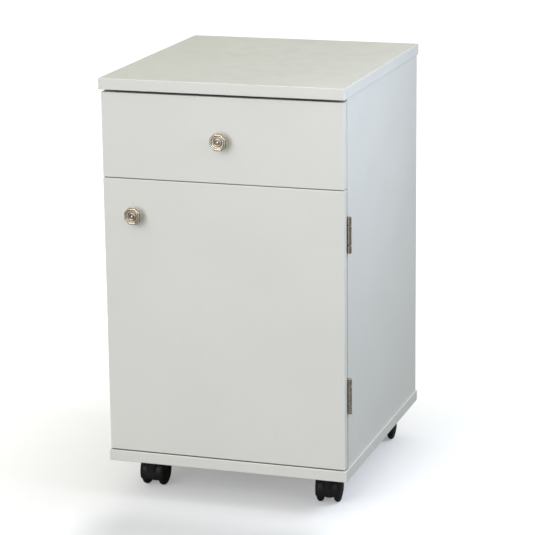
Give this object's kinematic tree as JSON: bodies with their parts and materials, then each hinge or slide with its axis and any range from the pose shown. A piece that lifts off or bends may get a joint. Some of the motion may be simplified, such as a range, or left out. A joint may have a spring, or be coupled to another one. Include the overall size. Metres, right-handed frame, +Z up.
{
  "type": "rolling pedestal cabinet",
  "caption": "White laminate pedestal cabinet with a drawer on roller slides above a side-hinged door, on swivelling twin-wheel casters.",
  "frame": {"origin": "on the floor, under the middle of the cabinet's overall box front to back and on its left-right centre plane", "axes": "+X to the viewer's right as they face the fronts, +Y from the fronts to the back panel, +Z up"},
  "size_m": [0.3981, 0.4566, 0.682],
  "materials": {
    "white_laminate": "satin white melamine laminate with matching edge bands",
    "white_board": "white foil on particle board",
    "white_hardboard": "white painted hardboard",
    "satin_nickel": "satin nickel plate, warm grey",
    "zinc_steel": "bright zinc plate",
    "black_nylon": "black moulded nylon, fine satin texture",
    "black_wheel": "black moulded nylon, satin",
    "white_nylon": "white moulded nylon",
    "ivory_plastic": "ivory moulded plastic",
    "magnet": "dark ferrite",
    "beech": "plain beech"
  },
  "bodies": {
    "cabinet": {"top_panel": "white_laminate", "base_panel": "white_laminate", "side_panel_left": "white_laminate", "side_panel_right": "white_laminate", "back_panel": "white_hardboard", "divider_panel": "white_laminate", "shelf": "white_laminate", "shelf_pins": "zinc_steel", "cam_fittings": "zinc_steel", "dowels": "beech", "slide_rail_left": "zinc_steel", "slide_rail_right": "zinc_steel", "cabinet_screws": "zinc_steel", "upper_hinge_cabinet_leaf": "satin_nickel", "lower_hinge_cabinet_leaf": "satin_nickel", "hinge_pins": "satin_nickel", "hinge_cabinet_screws": "satin_nickel", "catch_body": "ivory_plastic", "catch_magnet": "magnet", "caster_plates": "zinc_steel", "caster_screws": "zinc_steel"},
    "drawer": {"drawer_front": "white_laminate", "drawer_box_front": "white_board", "drawer_side_left": "white_board", "drawer_side_right": "white_board", "drawer_back_panel": "white_board", "drawer_bottom": "white_hardboard", "drawer_screws": "zinc_steel", "slide_runner_left": "zinc_steel", "slide_runner_right": "zinc_steel", "runner_screws": "zinc_steel", "drawer_knob": "satin_nickel", "drawer_knob_screw": "zinc_steel"},
    "door": {"door_panel": "white_laminate", "door_knob": "satin_nickel", "door_knob_screw": "zinc_steel", "upper_hinge_door_leaf": "satin_nickel", "lower_hinge_door_leaf": "satin_nickel", "hinge_door_screws": "satin_nickel", "catch_strike": "zinc_steel"},
    "rail_roller_left": {"rail_roller_left": "white_nylon"},
    "rail_roller_right": {"rail_roller_right": "white_nylon"},
    "runner_roller_left": {"runner_roller_left": "white_nylon"},
    "runner_roller_right": {"runner_roller_right": "white_nylon"},
    "front_left_caster": {"front_left_caster_hood": "black_nylon", "front_left_caster_axle": "zinc_steel"},
    "front_left_wheel_inner": {"front_left_wheel_inner": "black_wheel"},
    "front_left_wheel_outer": {"front_left_wheel_outer": "black_wheel"},
    "front_right_caster": {"front_right_caster_hood": "black_nylon", "front_right_caster_axle": "zinc_steel"},
    "front_right_wheel_inner": {"front_right_wheel_inner": "black_wheel"},
    "front_right_wheel_outer": {"front_right_wheel_outer": "black_wheel"},
    "rear_left_caster": {"rear_left_caster_hood": "black_nylon", "rear_left_caster_axle": "zinc_steel"},
    "rear_left_wheel_inner": {"rear_left_wheel_inner": "black_wheel"},
    "rear_left_wheel_outer": {"rear_left_wheel_outer": "black_wheel"},
    "rear_right_caster": {"rear_right_caster_hood": "black_nylon", "rear_right_caster_axle": "zinc_steel"},
    "rear_right_wheel_inner": {"rear_right_wheel_inner": "black_wheel"},
    "rear_right_wheel_outer": {"rear_right_wheel_outer": "black_wheel"}
  },
  "joints": [
    {"name": "drawer_slide", "type": "slide", "parent": "cabinet", "child": "drawer", "axis": [0, -1, 0], "range_m": [0, 0.26]},
    {"name": "door_hinge", "type": "hinge", "parent": "cabinet", "child": "door", "pos_m": [0.1978, -0.1933, 0.304], "axis": [0, 0, 1], "range_deg": [0, 195]},
    {"name": "rail_roller_left_spin", "type": "hinge", "parent": "cabinet", "child": "rail_roller_left", "pos_m": [-0.17085, -0.1763, 0.55415], "axis": [1, 0, 0], "continuous": true},
    {"name": "runner_roller_left_spin", "type": "hinge", "parent": "drawer", "child": "runner_roller_left", "pos_m": [-0.17565, 0.1417, 0.55415], "axis": [1, 0, 0], "continuous": true},
    {"name": "rail_roller_right_spin", "type": "hinge", "parent": "cabinet", "child": "rail_roller_right", "pos_m": [0.17085, -0.1763, 0.55415], "axis": [1, 0, 0], "continuous": true},
    {"name": "runner_roller_right_spin", "type": "hinge", "parent": "drawer", "child": "runner_roller_right", "pos_m": [0.17565, 0.1417, 0.55415], "axis": [1, 0, 0], "continuous": true},
    {"name": "front_left_swivel", "type": "hinge", "parent": "cabinet", "child": "front_left_caster", "pos_m": [-0.1485, -0.1486, 0.0577], "axis": [0, 0, 1], "continuous": true},
    {"name": "front_left_inner_wheel_spin", "type": "hinge", "parent": "front_left_caster", "child": "front_left_wheel_inner", "pos_m": [-0.1492, -0.12861, 0.025], "axis": [0.9994, 0.0349, 0], "continuous": true},
    {"name": "front_left_outer_wheel_spin", "type": "hinge", "parent": "front_left_caster", "child": "front_left_wheel_outer", "pos_m": [-0.1492, -0.12861, 0.025], "axis": [0.9994, 0.0349, 0], "continuous": true},
    {"name": "front_right_swivel", "type": "hinge", "parent": "cabinet", "child": "front_right_caster", "pos_m": [0.1485, -0.1486, 0.0577], "axis": [0, 0, 1], "continuous": true},
    {"name": "front_right_inner_wheel_spin", "type": "hinge", "parent": "front_right_caster", "child": "front_right_wheel_inner", "pos_m": [0.14537, -0.12885, 0.025], "axis": [0.9877, 0.1564, 0], "continuous": true},
    {"name": "front_right_outer_wheel_spin", "type": "hinge", "parent": "front_right_caster", "child": "front_right_wheel_outer", "pos_m": [0.14537, -0.12885, 0.025], "axis": [0.9877, 0.1564, 0], "continuous": true},
    {"name": "rear_left_swivel", "type": "hinge", "parent": "cabinet", "child": "rear_left_caster", "pos_m": [-0.1485, 0.1748, 0.0577], "axis": [0, 0, 1], "continuous": true},
    {"name": "rear_left_inner_wheel_spin", "type": "hinge", "parent": "rear_left_caster", "child": "rear_left_wheel_inner", "pos_m": [-0.14606, 0.19465, 0.025], "axis": [0.9925, -0.1219, 0], "continuous": true},
    {"name": "rear_left_outer_wheel_spin", "type": "hinge", "parent": "rear_left_caster", "child": "rear_left_wheel_outer", "pos_m": [-0.14606, 0.19465, 0.025], "axis": [0.9925, -0.1219, 0], "continuous": true},
    {"name": "rear_right_swivel", "type": "hinge", "parent": "cabinet", "child": "rear_right_caster", "pos_m": [0.1485, 0.1748, 0.0577], "axis": [0, 0, 1], "continuous": true},
    {"name": "rear_right_inner_wheel_spin", "type": "hinge", "parent": "rear_right_caster", "child": "rear_right_wheel_inner", "pos_m": [0.14641, 0.19469, 0.025], "axis": [0.9945, 0.1045, 0], "continuous": true},
    {"name": "rear_right_outer_wheel_spin", "type": "hinge", "parent": "rear_right_caster", "child": "rear_right_wheel_outer", "pos_m": [0.14641, 0.19469, 0.025], "axis": [0.9945, 0.1045, 0], "continuous": true}
  ],
  "couplings": [
    {"joint": "rail_roller_left_spin", "follows": "drawer_slide", "rad_per_m": 105.26},
    {"joint": "runner_roller_left_spin", "follows": "drawer_slide", "rad_per_m": 105.26},
    {"joint": "rail_roller_right_spin", "follows": "drawer_slide", "rad_per_m": 105.26},
    {"joint": "runner_roller_right_spin", "follows": "drawer_slide", "rad_per_m": 105.26}
  ]
}
